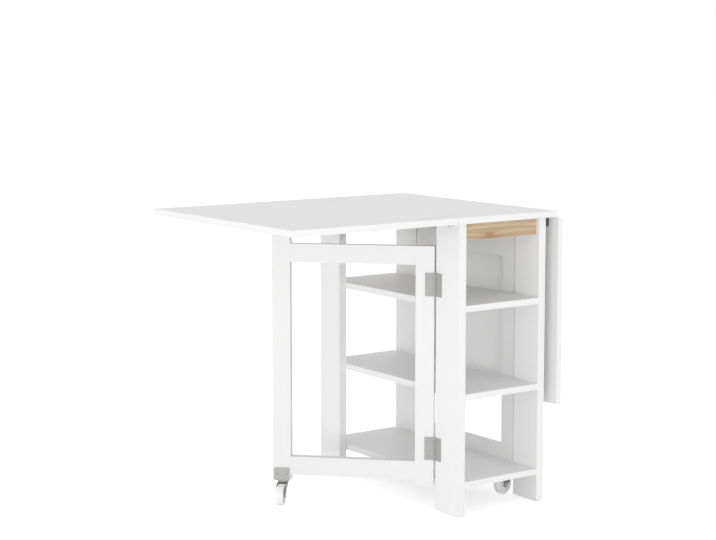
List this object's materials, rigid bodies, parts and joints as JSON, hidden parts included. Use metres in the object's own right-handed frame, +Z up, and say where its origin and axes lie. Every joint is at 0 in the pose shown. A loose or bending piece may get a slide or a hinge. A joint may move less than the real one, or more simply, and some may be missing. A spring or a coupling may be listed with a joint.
{
  "type": "drop-leaf kitchen table",
  "caption": "White drop-leaf kitchen table: open shelf cabinet, one leaf raised on a swung-out gate with a caster, the other leaf hanging over its closed gate.",
  "frame": {"origin": "on the floor, under the middle of the whole table's box", "axes": "+Z up, +X across the cabinet from the raised leaf towards the hanging leaf, +Y along the cabinet's long side"},
  "size_m": [0.8324, 0.65, 0.76],
  "materials": {
    "white_board": "white melamine faced board, satin",
    "white_top": "white melamine faced board, satin",
    "white_gate": "white lacquered board, satin",
    "oak_rail": "oak decor with a straight grain, satin",
    "glide_plastic": "smooth white plastic",
    "hinge_steel": "zinc plated, dull",
    "bracket_steel": "zinc plated, dull",
    "fork_steel": "zinc plated, pressed sheet",
    "rivet_steel": "bright steel",
    "wheel_hub": "moulded white plastic",
    "wheel_tyre": "light grey soft tread"
  },
  "bodies": {
    "cabinet": {"end_rail_far": "oak_rail", "end_rail_near": "oak_rail", "floor_glides": "glide_plastic", "gate_left_hinge_pins": "rivet_steel", "gate_left_hinge_post_wings": "hinge_steel", "gate_right_hinge_pins": "rivet_steel", "gate_right_hinge_post_wings": "hinge_steel", "leaf_left": "white_top", "leaf_left_hinge_center_wings": "hinge_steel", "leaf_left_hinge_leaf_wings": "hinge_steel", "leaf_left_hinge_pins": "rivet_steel", "leaf_right_hinge_center_wings": "hinge_steel", "leaf_right_hinge_pins": "rivet_steel", "shelf_bottom": "white_board", "shelf_middle": "white_board", "shelf_upper": "white_board", "stile_far_left": "white_board", "stile_far_right": "white_board", "stile_near_left": "white_board", "stile_near_right": "white_board", "top_center": "white_top"},
    "left_wheel": {"caster_left_hub": "wheel_hub", "caster_left_tyre": "wheel_tyre"},
    "right_wheel": {"caster_right_hub": "wheel_hub", "caster_right_tyre": "wheel_tyre"},
    "left_fork": {"caster_left_axle": "rivet_steel", "caster_left_fork": "fork_steel"},
    "right_fork": {"caster_right_axle": "rivet_steel", "caster_right_fork": "fork_steel"},
    "left_gate": {"gate_left_bottom_rail": "white_gate", "gate_left_hinge_gate_wings": "hinge_steel", "gate_left_leg": "white_gate", "gate_left_stile": "white_gate", "gate_left_top_rail": "white_gate", "caster_left_bracket": "bracket_steel", "caster_left_king_pin": "rivet_steel"},
    "right_gate": {"gate_right_bottom_rail": "white_gate", "gate_right_hinge_gate_wings": "hinge_steel", "gate_right_leg": "white_gate", "gate_right_stile": "white_gate", "gate_right_top_rail": "white_gate", "caster_right_bracket": "bracket_steel", "caster_right_king_pin": "rivet_steel"},
    "right_leaf": {"leaf_right": "white_top", "leaf_right_hinge_leaf_wings": "hinge_steel"}
  },
  "joints": [
    {"name": "left_gate_swing", "type": "hinge", "parent": "cabinet", "child": "left_gate", "pos_m": [0.08875, -0.2105, 0.37], "axis": [0, 0, 1], "range_deg": [-45, 45]},
    {"name": "left_caster_swivel", "type": "hinge", "parent": "left_gate", "child": "left_fork", "pos_m": [-0.18172, 0.07977, 0.056], "axis": [0, 0, 1], "continuous": true},
    {"name": "left_wheel_spin", "type": "hinge", "parent": "left_fork", "child": "left_wheel", "pos_m": [-0.20081, 0.06067, 0.025], "axis": [0.7071, -0.7071, 0], "continuous": true},
    {"name": "right_leaf_lift", "type": "hinge", "parent": "cabinet", "child": "right_leaf", "pos_m": [0.39725, 0, 0.741], "axis": [0, -1, 0], "range_deg": [0, 90]},
    {"name": "right_gate_swing", "type": "hinge", "parent": "cabinet", "child": "right_gate", "pos_m": [0.37875, 0.2105, 0.37], "axis": [0, 0, 1], "range_deg": [0, 3]},
    {"name": "right_caster_swivel", "type": "hinge", "parent": "right_gate", "child": "right_fork", "pos_m": [0.36475, -0.186, 0.056], "axis": [0, 0, 1], "range_deg": [-214, 8]},
    {"name": "right_wheel_spin", "type": "hinge", "parent": "right_fork", "child": "right_wheel", "pos_m": [0.33782, -0.18788, 0.025], "axis": [0.0698, -0.9976, 0], "continuous": true}
  ]
}
